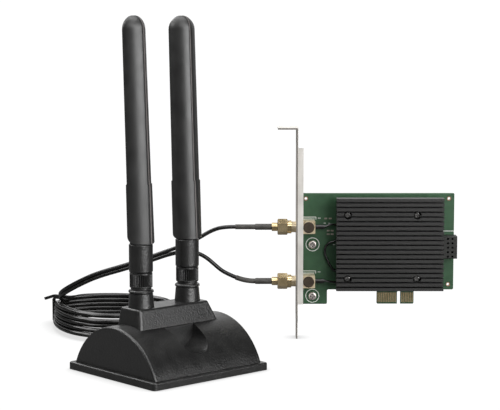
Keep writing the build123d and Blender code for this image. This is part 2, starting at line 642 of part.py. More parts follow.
def make_board():
    right = BOARD_RIGHT
    corners = [(BOARD_LEFT, BOARD_TOP), (BOARD_LEFT, FOOT_TAB_BOTTOM), (FOOT_TAB_RIGHT, FOOT_TAB_BOTTOM),
               (FOOT_TAB_RIGHT, BOARD_BOTTOM), (EDGE_LEFT, BOARD_BOTTOM), (EDGE_LEFT, EDGE_BOTTOM),
               (EDGE_RIGHT, EDGE_BOTTOM), (EDGE_RIGHT, BOARD_BOTTOM), (right, BOARD_BOTTOM), (right, BOARD_TOP)]
    outline = make_face(Polyline(*[(x, 0, z) for x, z in corners], close=True))
    board = extrude(outline, BOARD_T, dir=(0, 1, 0))
    uprights = board.edges().filter_by(Axis.Y)
    board = fillet(uprights, BOARD_CORNER_R)
    foot = [e for e in board.edges().filter_by(Axis.X) if abs(e.center().Z - EDGE_BOTTOM) < RUN_CLEARANCE]
    board = chamfer(foot, EDGE_CHAMFER)
    key = KEY_LEFT + KEY_WIDTH / 2
    board -= slab(KEY_LEFT, KEY_LEFT + KEY_WIDTH, 0, BOARD_T, 0, EDGE_BOTTOM + KEY_HEIGHT - KEY_WIDTH / 2)
    board -= along_y(KEY_WIDTH / 2, 0, BOARD_T, key, EDGE_BOTTOM + KEY_HEIGHT - KEY_WIDTH / 2)
    inset = CORNER_HOLE_INSET
    holes = [(BOARD_LEFT + inset, BOARD_TOP - inset), (right - inset, BOARD_TOP - inset),
             (right - inset, BOARD_BOTTOM + inset)]
    lands = []
    for x, z in holes:
        board -= along_y(CORNER_HOLE_R, 0, BOARD_T, x, z)
        lands.append(along_y(LAND_R, -LAND_T, 0, x, z) - along_y(CORNER_HOLE_R, -LAND_T, 0, x, z))
    for z in SCREW_Z:
        board -= along_y(SCREW_R + PART_GAP, 0, BOARD_T, SCREW_X, z)
    NODES["board"] = CARD * board
    NODES["corner_lands"] = group(CARD, lands)
    contacts = []
    low = EDGE_BOTTOM + 2 * EDGE_CHAMFER
    for left, end in ((EDGE_LEFT, KEY_LEFT), (KEY_LEFT + KEY_WIDTH, EDGE_RIGHT)):
        count = int((end - left) / CONTACT_PITCH)
        start = (left + end) / 2 - (count - 1) * CONTACT_PITCH / 2
        for i in range(count):
            x = start + i * CONTACT_PITCH - CONTACT_WIDTH / 2
            for face in (-CONTACT_T, BOARD_T):
                contacts.append(slab(x, x + CONTACT_WIDTH, face, face + CONTACT_T, low, low + CONTACT_HEIGHT))
    NODES["edge_contacts"] = group(CARD, contacts)


def cross_recess(depth):
    """Cross-shaped driver recess that opens towards -y at y = 0."""
    half, arm = CROSS_WIDTH / 2, CROSS_LENGTH / 2
    return slab(-half, half, 0, depth, -arm, arm) + slab(-arm, arm, 0, depth, -half, half)


def face_screw(head_r, head_t, shank_r, reach):
    """Pan screw that points to +y, seat of its head at y = 0."""
    screw = along_y(head_r, -head_t, 0, 0, 0)
    screw = fillet(screw.faces().sort_by(Axis.Y)[0].edges(), head_t / 2)
    screw += along_y(shank_r, -head_t / 2, reach, 0, 0)
    return screw - at(y=-head_t) * cross_recess(min(CROSS_DEPTH, head_t / 2))


def make_card_screws():
    head = face_screw(SCREW_HEAD_R, SCREW_HEAD_T, SCREW_R, SCREW_REACH)
    NODES["bracket_screws"] = group(CARD, [at(SCREW_X, 0, z) * head for z in SCREW_Z])
    reach = HEATSINK_BASE + STANDOFF_BORE - SPIN_GAP
    small = face_screw(SINK_SCREW_HEAD_R, SINK_SCREW_HEAD_T, SINK_SCREW_R, reach)
    NODES["heatsink_screws"] = group(CARD, [at(x, -SINK_FACE, z) * small for x, z in SINK_SCREWS])
    posts = []
    for x, z in SINK_SCREWS:
        post = along_y(STANDOFF_R, -HEATSINK_LIFT, 0, x, z)
        posts.append(post - along_y(SINK_SCREW_R + RUN_CLEARANCE, -HEATSINK_LIFT,
                                    STANDOFF_BORE - HEATSINK_LIFT, x, z))
    NODES["heatsink_standoffs"] = group(CARD, posts)


def make_heatsink():
    front = SINK_FACE + FIN_HEIGHT
    sink = slab(HEATSINK_LEFT, HEATSINK_RIGHT, -SINK_FACE, -HEATSINK_LIFT, HEATSINK_BOTTOM, HEATSINK_TOP)
    for i in range(FIN_COUNT):
        z = HEATSINK_BOTTOM + i * FIN_PITCH
        sink += slab(HEATSINK_LEFT, HEATSINK_RIGHT, -front, -SINK_FACE, z, z + FIN_WIDTH)
    for x, z in SINK_SCREWS:
        sink -= along_y(SINK_POCKET_R, -front, -SINK_FACE, x, z)
        sink -= along_y(SINK_SCREW_R + PART_GAP, -front, 0, x, z)
    NODES["heatsink"] = CARD * sink


def make_module():
    left, right = MODULE_LEFT, MODULE_LEFT + MODULE_WIDTH
    low, high = MODULE_BOTTOM, MODULE_BOTTOM + MODULE_HEIGHT
    face = MODULE_LIFT + MODULE_T
    post_x = (left + right) / 2
    post_z = high - MODULE_POST_INSET
    board = slab(left, right, -face, -MODULE_LIFT, low, high)
    board -= along_y(MODULE_SCREW_R + PART_GAP, -face, 0, post_x, post_z)
    NODES["module_board"] = CARD * board
    post = along_y(MODULE_POST_R, -MODULE_LIFT, 0, post_x, post_z)
    post -= along_y(MODULE_SCREW_R + RUN_CLEARANCE, -MODULE_LIFT, -MODULE_LIFT / 4, post_x, post_z)
    NODES["module_post"] = CARD * post
    screw = face_screw(MODULE_SCREW_HEAD_R, MODULE_SCREW_HEAD_T, MODULE_SCREW_R, MODULE_T + MODULE_LIFT / 2)
    NODES["module_screw"] = CARD * (at(post_x, -face, post_z) * screw)
    shield_face = face + SHIELD_T
    shield_top = post_z - MODULE_SCREW_HEAD_R - SHIELD_DROP / 2
    shield = slab(left + SHIELD_MARGIN, right - SHIELD_MARGIN, -shield_face, -face,
                  low + SHIELD_DROP, shield_top)
    shield = chamfer(shield.faces().sort_by(Axis.Y)[0].edges(), SHIELD_T / 6)
    NODES["module_shield"] = CARD * shield
    margin = SHIELD_MARGIN + HEAT_PAD_MARGIN
    pad = slab(left + margin, right - margin, -HEATSINK_LIFT, -shield_face,
               low + SHIELD_DROP + HEAT_PAD_MARGIN, shield_top - HEAT_PAD_MARGIN)
    NODES["heat_pad"] = CARD * pad
    socket = slab(left - SOCKET_OVERHANG, right + SOCKET_OVERHANG, -SOCKET_TOP, 0,
                  low + SOCKET_GRIP - SOCKET_HEIGHT, low + SOCKET_GRIP)
    socket -= slab(left - PART_GAP, right + PART_GAP, -face - PART_GAP, -MODULE_LIFT + PART_GAP,
                   low - PART_GAP, low + SOCKET_GRIP)
    NODES["module_socket"] = CARD * socket
    snaps = [along_y(SNAP_R, -face - SNAP_T, -face, x, high - SNAP_INSET) for x in snap_places()]
    NODES["pigtail_snaps"] = group(CARD, snaps)


def snap_places():
    return (MODULE_LEFT + SNAP_SIDE, MODULE_LEFT + MODULE_WIDTH - SNAP_SIDE)


def make_jack(label, z):
    block = slab(JACK_LEFT, JACK_LEFT + JACK_SIDE, -JACK_HEIGHT, 0, z - JACK_SIDE / 2, z + JACK_SIDE / 2)
    block = fillet(block.edges().filter_by(Axis.Y), JACK_EDGE_R)
    block += along_x(JACK_BARREL_R, -JACK_REACH, JACK_LEFT + JACK_EDGE_R, -JACK_AXIS, z)
    NODES[label + "_jack"] = CARD * block
    middle = JACK_LEFT + JACK_SIDE / 2
    cap = along_y(JACK_CAP_R, -JACK_HEIGHT - JACK_CAP_T, -JACK_HEIGHT, middle, z)
    cap = chamfer(cap.faces().sort_by(Axis.Y)[0].edges(), JACK_CAP_T / 3)
    NODES[label + "_jack_cap"] = CARD * cap


def make_pigtail(label, z, route, snap_edge):
    """Sleeve on the jack's tail, then a thin lead to the module's snap plug."""
    start = JACK_LEFT + JACK_SIDE
    tail = start + JACK_TAIL_LENGTH
    sleeve = along_x(JACK_TAIL_R, start, tail, -JACK_AXIS, z)
    snap_y = -(MODULE_LIFT + MODULE_T + PIGTAIL_R + PART_GAP)
    snap_z = MODULE_BOTTOM + MODULE_HEIGHT - SNAP_INSET
    points = [(tail, -JACK_AXIS, z)] + route + [(snap_edge, snap_y, snap_z)]
    NODES[label + "_pigtail"] = CARD * (sleeve + tube(label + "_pigtail", points, PIGTAIL_R))


def make_header():
    left = HEATSINK_RIGHT + PART_GAP
    body = slab(left, SOCKET_RIGHT, -SOCKET_DEPTH, 0, SOCKET_LOW, SOCKET_HIGH)
    body = chamfer(body.faces().sort_by(Axis.Y)[0].edges(), SOCKET_CHAMFER)
    middle_x = (left + SOCKET_RIGHT) / 2
    middle_z = (SOCKET_LOW + SOCKET_HIGH) / 2
    half = PIN_CAVITY / 2
    for column in (-0.5, 0.5):
        for row in range(PIN_ROWS):
            x = middle_x + column * PIN_PITCH
            z = middle_z + (row - (PIN_ROWS - 1) / 2) * PIN_PITCH
            body -= slab(x - half, x + half, -SOCKET_DEPTH, PIN_CAVITY_DEPTH - SOCKET_DEPTH, z - half, z + half)
    NODES["pin_socket"] = CARD * body


def make_chips():
    chips = [slab(x - CHIP_LENGTH / 2, x + CHIP_LENGTH / 2, -CHIP_T, 0, z - CHIP_WIDTH / 2, z + CHIP_WIDTH / 2)
             for x, z in CHIPS]
    NODES["chip_parts"] = group(CARD, chips)


make_bracket()
make_board()
make_chips()
make_card_screws()
make_heatsink()
make_module()
make_header()
first_snap, second_snap = snap_places()
for word, height in zip(("upper", "lower"), JACK_Z):
    make_jack(word, height)
make_pigtail("upper", JACK_Z[0], UPPER_PIGTAIL, first_snap - SNAP_R)
make_pigtail("lower", JACK_Z[1], LOWER_PIGTAIL, second_snap + SNAP_R)

# Plugs on the leads

COLLAR_BACK = -NUT_FRONT - NUT_COLLAR_LENGTH
NUT_BACK = COLLAR_BACK - NUT_HEX_LENGTH
FERRULE_FRONT = NUT_BACK - PART_GAP
FERRULE_BACK = FERRULE_FRONT - FERRULE_LENGTH
STEP_BACK = FERRULE_BACK - BOOT_THICK_LENGTH
SHAFT_R = FERRULE_R - NUT_BACK_WALL / 2


def make_plug(label, z):
    """Hexagonal coupling nut that turns on the plug's body; the body seats on the jack's end."""
    hexagon = RegularPolygon(NUT_ACROSS_FLATS / 2, 6, major_radius=False)
    nut = Location((NUT_BACK, 0, 0), (0, 90, 0)) * extrude(hexagon, NUT_HEX_LENGTH)
    swell = turned([(0, NUT_BACK), (NUT_ACROSS_FLATS / 2, NUT_BACK),
                    (NUT_ACROSS_FLATS / 2 + 2 * NUT_CHAMFER, NUT_BACK + NUT_CHAMFER),
                    (NUT_ACROSS_FLATS / 2 + 2 * NUT_CHAMFER, COLLAR_BACK - NUT_CHAMFER),
                    (NUT_ACROSS_FLATS / 2, COLLAR_BACK), (0, COLLAR_BACK)])
    nut &= Location((0, 0, 0), (0, 90, 0)) * swell
    nut += along_x(NUT_COLLAR_R, COLLAR_BACK, -NUT_FRONT, 0, 0)
    nut -= along_x(JACK_BARREL_R + SPIN_GAP, NUT_BACK + NUT_BACK_WALL, 0, 0, 0)
    nut -= along_x(SHAFT_R + PART_GAP, NUT_BACK, 0, 0, 0)
    body = along_x(FERRULE_R, FERRULE_BACK, FERRULE_FRONT, 0, 0)
    body += along_x(SHAFT_R, FERRULE_BACK, -JACK_REACH, 0, 0)
    body += along_x(PLUG_FLANGE_R, -JACK_REACH - PLUG_FLANGE_T, -JACK_REACH, 0, 0)
    place = CARD * at(0, -JACK_AXIS, z)
    NODES[label + "_coupling_nut"] = place * nut
    NODES[label + "_plug_body"] = place * body


def make_boot(label, z, bend):
    """Two steps of heat-shrink sleeve; the thin one may bend upwards. Gives the lead's last run."""
    boot = along_x(BOOT_THICK_R, STEP_BACK, FERRULE_BACK, 0, 0)
    if bend:
        radius = BOOT_THIN_LENGTH / math.radians(bend)
        arc = [(STEP_BACK - radius * math.sin(a), 0, radius * (1 - math.cos(a)))
               for a in (0, math.radians(bend) / 2, math.radians(bend))]
        path = ThreePointArc(*arc)
        boot += sweep(Plane(origin=path @ 0, z_dir=path % 0) * Circle(BOOT_THIN_R), path=path)
        end = arc[-1]
    else:
        end = (STEP_BACK - BOOT_THIN_LENGTH, 0, 0)
        boot += along_x(BOOT_THIN_R, end[0], STEP_BACK, 0, 0)
    NODES[label + "_boot"] = CARD * at(0, -JACK_AXIS, z) * boot
    x, y = CARD_X + end[0], CARD_Y - JACK_AXIS
    away = BOOT_RUN * math.cos(math.radians(bend))
    rise = BOOT_RUN * math.sin(math.radians(bend))
    return [(x - away, y, z + end[2] + rise), (x, y, z + end[2])]


for word, height in zip(("upper", "lower"), JACK_Z):
    make_plug(word, height)
UPPER_END = make_boot("upper", JACK_Z[0], 0)
LOWER_END = make_boot("lower", JACK_Z[1], LOWER_BOOT_BEND)

# Leads, coil and tie

GROMMET_FACE = DOME_HALF + GROMMET_NOSE
GROMMET_START = [tuple((STAND * at(0, reach, FOOT_TOP + GROMMET_HEIGHT / 2)).position)
                 for reach in (GROMMET_FACE, GROMMET_FACE + GROMMET_RUN)]


def beside(points, across, amount):
    """Route shifted sideways by amount, across(direction) giving the side it goes to."""
    shifted = []
    for i, here in enumerate(points):
        before = Vector(points[max(i - 1, 0)])
        after = Vector(points[min(i + 1, len(points) - 1)])
        side = across((after - before).normalized())
        shifted.append(tuple(Vector(here) + side * amount))
    return shifted


def upwards(direction):
    """Unit vector square to direction, as near to vertical as it can be."""
    lift = Vector(0, 0, 1) - direction * direction.Z
    return lift.normalized()


def level(direction):
    """Unit vector square to direction that lies level."""
    return direction.cross(Vector(0, 0, 1)).normalized()


def make_leads():
    upper = beside(PAIR_ROUTE, upwards, PAIR_HALF) + UPPER_ROUTE + UPPER_END
    lower = beside(PAIR_ROUTE, upwards, -PAIR_HALF) + LOWER_ROUTE + LOWER_END
    NODES["upper_lead"] = tube("upper_lead", upper, COAX_R)
    NODES["lower_lead"] = tube("lower_lead", lower, COAX_R)
    centre = GROMMET_START + STAND_ROUTE
    pair = [tube("stand_lead", beside(centre, level, side * PAIR_HALF), COAX_R) for side in (-1, 1)]
    NODES["stand_leads"] = group(at(), pair)


def make_coil():
    """Ring with the outer shape of the loose turns, thin where the tie draws them together."""
    place = at(COIL_X, COIL_Y) * Rotation(0, 0, TIE_ANGLE)
    ring = upright(COIL_OUTER_R, COIL_BOTTOM, COIL_TOP)
    hole_x = COIL_OUTER_R - COIL_TIE_WIDTH - COIL_HOLE_R
    ring -= at(hole_x) * upright(COIL_HOLE_R, COIL_BOTTOM, COIL_TOP)
    ring = fillet(ring.edges().filter_by(GeomType.CIRCLE), COIL_EDGE_R)
    NODES["cable_coil"] = place * ring
    gap = 2 * PART_GAP
    tall = COIL_TOP - COIL_BOTTOM
    reach = gap + TIE_T
    inside = RectangleRounded(COIL_TIE_WIDTH + 2 * gap, tall + 2 * gap, COIL_EDGE_R)
    outside = RectangleRounded(COIL_TIE_WIDTH + 2 * reach, tall + 2 * reach, COIL_EDGE_R + TIE_T)
    middle = at(COIL_OUTER_R - COIL_TIE_WIDTH / 2, (COIL_TOP + COIL_BOTTOM) / 2)
    band = extrude(Plane.XZ * (middle * (outside - inside)), TIE_WIDTH / 2, both=True)
    band += slab(COIL_OUTER_R - COIL_EDGE_R, COIL_OUTER_R + TIE_TAIL, -TIE_TAIL_WIDTH / 2,
                 TIE_TAIL_WIDTH / 2, COIL_TOP + gap, COIL_TOP + gap + TIE_TAIL_T)
    NODES["coil_tie"] = place * band


make_leads()
make_coil()

os.makedirs("parts", exist_ok=True)
for name, shape in NODES.items():
    export_step(shape, "parts/" + name + ".step")
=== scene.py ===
import bpy
import json
import math
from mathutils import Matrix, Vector


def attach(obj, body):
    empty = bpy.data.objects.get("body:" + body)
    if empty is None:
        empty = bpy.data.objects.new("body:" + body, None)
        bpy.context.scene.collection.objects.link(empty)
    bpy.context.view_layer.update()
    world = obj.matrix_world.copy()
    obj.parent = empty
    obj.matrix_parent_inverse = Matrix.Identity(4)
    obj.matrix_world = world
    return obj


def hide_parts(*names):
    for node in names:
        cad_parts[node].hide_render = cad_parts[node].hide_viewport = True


# Looks of the wireless card, its coax leads and its antenna stand. Metres, in the part's own frame.

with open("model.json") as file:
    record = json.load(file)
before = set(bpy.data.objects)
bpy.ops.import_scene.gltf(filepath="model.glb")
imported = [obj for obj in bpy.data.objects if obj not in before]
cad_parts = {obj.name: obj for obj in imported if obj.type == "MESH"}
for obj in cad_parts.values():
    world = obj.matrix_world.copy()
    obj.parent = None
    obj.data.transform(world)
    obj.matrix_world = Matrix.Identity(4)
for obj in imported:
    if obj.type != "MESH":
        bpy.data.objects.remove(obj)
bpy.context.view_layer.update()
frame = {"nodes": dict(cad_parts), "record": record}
NODES = frame["nodes"]
ROOT = "card_and_stand"
MM = 0.001
MATERIALS = {}
SLOTS = {part["node"]: part["material_slot"] for part in frame["record"]["subparts"]}

# Camera: the photo's frame is 500 pixels wide
FRAME_WIDTH_PX = 500
FOCAL_PX = 1618
SENSOR_MM = 36.0
CAMERA_PLACE = (42.35 * MM, -823.3 * MM, 178.4 * MM)
CAMERA_PITCH = 6.43

# Studio: bright behind the object and dark elsewhere; lamps as place, size and power
WHITE = 1.05
ROOM_AXIS = (0.22, 0.95, 0.22)
ROOM_DARK = 0.05
ROOM_BRIGHT = 1.2
FLOOR_TONE = 0.14
SHADOW_REACH = 14 * MM
SHADOW_TONE = 0.72
ROOM_EDGE = (0.78, 0.97)
SHADOW_EDGE = (0.5, 0.95)
FLOOR_SIZE = 8
FLOOR_DROP = 0.05 * MM
LAMP_AIM = (0.04, 0.04, 0.08)
LAMPS = {"top_box": ((0.0, 0.0, 1.2), (1.2, 0.8), 9),
         "right_box": ((0.86, -0.80, 0.22), (1.1, 0.9), 18),
         "left_box": ((-0.9, -0.2, 0.8), (0.35, 0.8), 4.5),
         "front_box": ((0.2, -1.5, 1.1), (1.3, 0.7), 8),
         "back_box": ((-0.6, 0.65, 0.85), (0.8, 0.5), 5)}

# Leads
COAX_R = 1.15 * MM
PAIR_HALF = 1.2
PAIR_TOUCH = 1.05
GROMMET_START = [(-26.23, 29.13, 7.0), (-32.79, 36.41, 7.0)]
STAND_ROUTE = [(-37.5, 45, 4.8), (-40.2, 55, 3.0), (-40.6, 66, 2.0), (-36.5, 75.5, 1.6), (-28.5, 82, 1.5)]
PAIR_ROUTE = [(-67.15, 137, 13.0), (-71.65, 128, 16.5), (-67.15, 119.5, 21.0), (-58.15, 113.5, 26.6),
              (-46.65, 107.5, 32.6), (-28.65, 98, 38.9), (-14.15, 91.5, 44.6), (-3.95, 88.5, 48.5)]
UPPER_ROUTE = [(4.65, 88, 52.7), (12.85, 87.6, 56.6), (20.35, 87.6, 61.2), (27.15, 87.6, 63.3),
               (34.05, 87.6, 63.3)]
LOWER_ROUTE = [(4.85, 88, 49.2), (12.35, 87.6, 48.6), (18.15, 87.6, 45.4), (22.95, 87.6, 41.0),
               (27.93, 87.6, 36.93), (34.33, 87.6, 34.34)]
UPPER_LENGTH = 1.38
LOWER_LENGTH = 1.46

# Coil of the pair: drop-shaped turns that meet at the tie and fan out away from it, one above the other
TIE_PLACE = (-72.6, 134.0)
TIE_TURN = 148.0
COIL_START = -40.0
COIL_END = 122.0
COIL_STEPS = 18
COIL_LOW = 1.5
COIL_RISE = 2.3
LAP_REACH = [41.0, 40.0, 39.5, 38.0, 38.5, 36.5, 36.0]
LAP_TURN = [143.0, 142.0, 145.0, 147.0, 148.0, 152.0, 154.0]
DROP_NEAR = 0.8
DROP_FAR = 0.3

# Tie of the coil, as distances outward from the coil and upward
STRAP_LOOP = [(3.2, 1.2), (3.2, 13.6), (2.5, 14.5), (-2.5, 14.5),
              (-3.2, 13.6), (-3.2, 1.2), (-2.5, 0.5), (2.5, 0.5)]
STRAP_TAILS = [[(-2.5, 15.3), (3.0, 15.2), (9.5, 13.0)], [(-2.5, 16.1), (3.0, 16.0), (9.8, 13.7)]]
STRAP_T = 0.9
STRAP_WIDTH = 2.2

# Antenna blades: foot of each axis, its turn, and the lean about the hinge
BLADE_FEET = {"left": (-12.99, -10.75, -2.0), "right": (9.68, 9.65, -28.0)}
BLADE_LEAN = 1.5
BLADE_LOW = 72.1
BLADE_ROUND = 103.0
BLADE_FLAT = 1.5
# Share of the crowned shading, and how far it turns to the light
CROWN = 0.9
CROWN_TURN = {"left": 10.0, "right": 2.0}
# Parting groove: its angle and half width. The groove is painted as a dark line of painted shade, and a
# painted highlight runs as a bright line at this offset beside it
PARTING_ANGLE = 31.6
PARTING_HALF = 0.045
HIGHLIGHT_LINE_OFFSET = 0.13

# Printed marks and lands on the board's front face
BOARD_FACE = 91.5
PRINT_T = 0.03
PRINT_WIDTH = 0.38
SCREW_RINGS = [(78.05, 52.7), (78.05, 23.0)]
SCREW_RING_R = 3.75
RING_STEPS = 64
MARKS = [(72.6, 68.4, 79.9, 68.4), (72.6, 67.3, 79.2, 67.3), (79.9, 68.4, 79.9, 66.9),
         (81.0, 67.8, 82.6, 67.8), (72.6, 37.4, 79.9, 37.4), (72.6, 36.2, 79.2, 36.2),
         (79.9, 37.4, 79.9, 35.9), (81.0, 36.8, 82.6, 36.8),
         (151.6, 60.4, 158.5, 60.4), (152.2, 60.4, 152.2, 61.9), (151.6, 45.2, 158.5, 45.2),
         (89.6, 52.6, 90.9, 52.6), (84.4, 64.9, 85.6, 64.9), (86.8, 64.9, 88.0, 64.9)]
LANDS = [(74.15, 79.0), (155.55, 79.0), (155.55, 29.7)]
LAND_R = 1.15
SHEARED_EDGE = 69.1


def make_camera():
    data = bpy.data.cameras.new("camera")
    data.sensor_width = SENSOR_MM
    data.lens = SENSOR_MM * FOCAL_PX / FRAME_WIDTH_PX
    data.clip_end = 20
    camera = bpy.data.objects.new("camera", data)
    camera.location = CAMERA_PLACE
    camera.rotation_euler = (math.radians(90 - CAMERA_PITCH), 0, 0)
    bpy.context.scene.collection.objects.link(camera)
    bpy.context.scene.camera = camera


def beside(points, across, amount):
    """Route shifted sideways by amount, across(direction) giving the side it goes to."""
    shifted = []
    for i, here in enumerate(points):
        before = Vector(points[max(i - 1, 0)])
        after = Vector(points[min(i + 1, len(points) - 1)])
        side = across((after - before).normalized())
        shifted.append(Vector(here) + side * amount)
    return shifted


def upwards(direction):
    return (Vector((0, 0, 1)) - direction * direction.z).normalized()


def level(direction):
    return direction.cross(Vector((0, 0, 1))).normalized()


def eased(values, lap):
    """Value at this count of laps, easing from one turn's value to the next one's."""
    whole = min(int(lap), len(values) - 2)
    ease = 0.5 - 0.5 * math.cos(math.pi * (lap - whole))
    return values[whole] + (values[whole + 1] - values[whole]) * ease


def coil_place(angle):
    """Middle of the pair at this angle: each turn is a drop with its point at the tie."""
    laps = max(angle - COIL_START, 0) / 360
    reach = eased(LAP_REACH, laps)
    turn = math.radians(eased(LAP_TURN, laps))
    ahead = Vector((math.cos(turn), math.sin(turn), 0))
    aside = Vector((-ahead.y, ahead.x, 0))
    past_tie = math.radians(angle) - turn
    drop = DROP_NEAR if math.sin(past_tie) > 0 else DROP_FAR
    narrow = abs(math.sin(past_tie / 2)) ** drop
    shape = ahead * (math.cos(past_tie) - 1) + aside * math.sin(past_tie) * narrow
    return Vector((*TIE_PLACE, COIL_LOW + COIL_RISE * laps)) + shape * reach


def coil_turns(side):
    """Points of one lead in the coil, on its own side of the pair's middle."""
    points = []
    sweep = 360 * (len(LAP_REACH) - 2) + COIL_END - COIL_START
    steps = int(COIL_STEPS * sweep / 360)
    for i in range(steps + 1):
        angle = COIL_START + sweep * i / steps
        along = (coil_place(angle + 1) - coil_place(angle - 1)).normalized()
        points.append(coil_place(angle) + level(along) * side * PAIR_HALF)
    return points


def nurbs(name, points, radius):
    """Smooth round tube with these control points, in millimetres."""
    data = bpy.data.curves.new(name, "CURVE")
    data.dimensions = "3D"
    data.bevel_depth = 1.0
    data.bevel_resolution = 4
    data.use_fill_caps = True
    data.resolution_u = 6
    spline = data.splines.new("NURBS")
    spline.points.add(len(points) - 1)
    for place, point in zip(spline.points, points):
        place.co = (point[0] * MM, point[1] * MM, point[2] * MM, 1)
        place.radius = radius
    spline.order_u = 3
    spline.use_endpoint_u = True
    curve = bpy.data.objects.new(name, data)
    bpy.context.scene.collection.objects.link(curve)
    return curve


def make_leads():
    """Both leads, each from the stand's grommet through the coil to its plug."""
    leads = (("upper", -1, UPPER_ROUTE, UPPER_LENGTH), ("lower", 1, LOWER_ROUTE, LOWER_LENGTH))
    for word, inner, route, length in leads:
        points = beside(GROMMET_START + STAND_ROUTE, level, inner * PAIR_HALF)
        points += coil_turns(inner)
        points += beside(PAIR_ROUTE, upwards, -inner * PAIR_TOUCH)
        points += [Vector(point) for point in route]
        lead = nurbs(word + "_coax", points, COAX_R)
        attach(lead, ROOT)
        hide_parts(word + "_lead")
        if word == "upper":
            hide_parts("stand_leads", "cable_coil")
        lead.data.materials.append(MATERIALS["cable_jacket"])


def ribbon(points, closed, width, depth, place):
    """Corners and faces of a flat strip along these points; place() puts its corners into space."""
    count = len(points)
    corners, faces = [], []
    for i, here in enumerate(points):
        before = points[i - 1] if closed or i else here
        after = points[(i + 1) % count] if closed or i < count - 1 else here
        along = (Vector(after) - Vector(before)).normalized()
        side = Vector((-along.y, along.x)) * width / 2
        for deep in (0, depth):
            for sign in (-1, 1):
                flat = Vector(here) + side * sign
                corners.append(place(flat.x, flat.y, deep))
    for i in range(count if closed else count - 1):
        a, b = 4 * i, 4 * ((i + 1) % count)
        faces += [(a + 2, a + 3, b + 3, b + 2), (a, b, b + 1, a + 1)]
        faces += [(a, a + 2, b + 2, b), (a + 1, b + 1, b + 3, a + 3)]
    if not closed:
        last = 4 * (count - 1)
        faces += [(0, 1, 3, 2), (last, last + 2, last + 3, last + 1)]
    return corners, faces


def make_strips(name, lines, width, depth, place, material):
    """One piece made of flat strips, riding on the card and stand."""
    corners, faces = [], []
    for points, closed in lines:
        new_corners, new_faces = ribbon(points, closed, width, depth, place)
        faces += [tuple(i + len(corners) for i in face) for face in new_faces]
        corners += new_corners
    mesh = bpy.data.meshes.new(name)
    mesh.from_pydata(corners, [], faces)
    mesh.materials.append(MATERIALS[material])
    piece = bpy.data.objects.new(name, mesh)
    bpy.context.scene.collection.objects.link(piece)
    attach(piece, ROOT)
    return piece


def on_board(x, z, deep):
    return (x * MM, (BOARD_FACE - deep) * MM, z * MM)


def make_print():
    """White printed marks on the board: lines by the jacks and the pin socket, rings round the screws."""
    lines = [([(x0, z0), (x1, z1)], False) for x0, z0, x1, z1 in MARKS]
    turns = [2 * math.pi * i / RING_STEPS for i in range(RING_STEPS)]
    for x, z in SCREW_RINGS:
        ring = [(x + SCREW_RING_R * math.cos(t), z + SCREW_RING_R * math.sin(t)) for t in turns]
        lines.append((ring, True))
    make_strips("board_print", lines, PRINT_WIDTH, PRINT_T, on_board, "print_white")


def at_tie(out, up, deep):
    turn = math.radians(TIE_TURN)
    ahead = Vector((math.cos(turn), math.sin(turn), 0))
    middle = Vector((*TIE_PLACE, up)) + level(ahead) * (deep - STRAP_WIDTH / 2)
    return (middle + ahead * out) * MM


def make_strap():
    """Tie round the gathered strands of the coil, with its loose tail."""
    lines = [(STRAP_LOOP, True)] + [(tail, False) for tail in STRAP_TAILS]
    slot = SLOTS["coil_tie"]
    strap = make_strips("coil_strap", lines, STRAP_T, STRAP_WIDTH, at_tie, slot)
    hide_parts("coil_tie")


def add(tree, kind, inputs, **settings):
    """New shader node with these settings and these input values or links."""
    node = tree.nodes.new("ShaderNode" + kind)
    for name, value in settings.items():
        setattr(node, name, value)
    for name, value in inputs.items():
        if isinstance(value, bpy.types.NodeSocket):
            tree.links.new(value, node.inputs[name])
        else:
            node.inputs[name].default_value = value
    return node


def vector(tree, operation, *inputs):
    return add(tree, "VectorMath", dict(enumerate(inputs)), operation=operation).outputs["Vector"]


def number(tree, operation, *inputs):
    return add(tree, "Math", dict(enumerate(inputs)), operation=operation).outputs["Value"]


def dot(tree, first, second):
    return add(tree, "VectorMath", {0: first, 1: second}, operation="DOT_PRODUCT").outputs["Value"]


def spread(tree, value, low, high, to_low, to_high):
    """Number that goes from to_low to to_high while value goes from low to high."""
    inputs = {"Value": value, "From Min": low, "From Max": high, "To Min": to_low, "To Max": to_high}
    return add(tree, "MapRange", inputs).outputs["Result"]


def noise(tree, place, scale, detail):
    return add(tree, "TexNoise", {"Vector": place, "Scale": scale, "Detail": detail}).outputs["Fac"]


def tones(tree, value, dark, light):
    """Colour between two tones as value goes from 0.3 to 0.7."""
    ramp = add(tree, "ValToRGB", {"Fac": value})
    for end, position, tone in zip(ramp.color_ramp.elements, (0.3, 0.7), (dark, light)):
        end.position = position
        end.color = (*tone, 1)
    return ramp.outputs["Color"]


def blend(tree, share, first, second):
    """Colour that goes from first to second as share goes from 0 to 1."""
    return add(tree, "MixRGB", {"Fac": share, "Color1": first, "Color2": second}).outputs["Color"]


class Finish:
    """Node material with wandering colour and roughness and a fine grain."""

    def __init__(self, name, dark, light, roughness, metallic=0.0, scale=300.0, bump=0.2,
                 bump_scale=2000.0, depth=0.05, gloss=0.5):
        MATERIALS[name] = bpy.data.materials.new(name)
        MATERIALS[name].use_nodes = True
        self.tree = MATERIALS[name].node_tree
        self.shader = self.tree.nodes["Principled BSDF"]
        self.place = add(self.tree, "TexCoord", {}).outputs["Object"]
        wander = noise(self.tree, self.place, scale, 4.0)
        self.colour = tones(self.tree, wander, dark, light)
        self.rough = spread(self.tree, wander, 0.3, 0.7, 0.85 * roughness, 1.15 * roughness)
        height = noise(self.tree, self.place, bump_scale, 3.0)
        self.grain = add(self.tree, "Bump", {"Height": height, "Strength": bump, "Distance": depth * MM})
        self.set("Base Color", self.colour)
        self.set("Roughness", self.rough)
        self.set("Normal", self.grain.outputs["Normal"])
        self.shader.inputs["Metallic"].default_value = metallic
        self.shader.inputs["Specular IOR Level"].default_value = gloss

    def set(self, name, value):
        self.tree.links.new(value, self.shader.inputs[name])


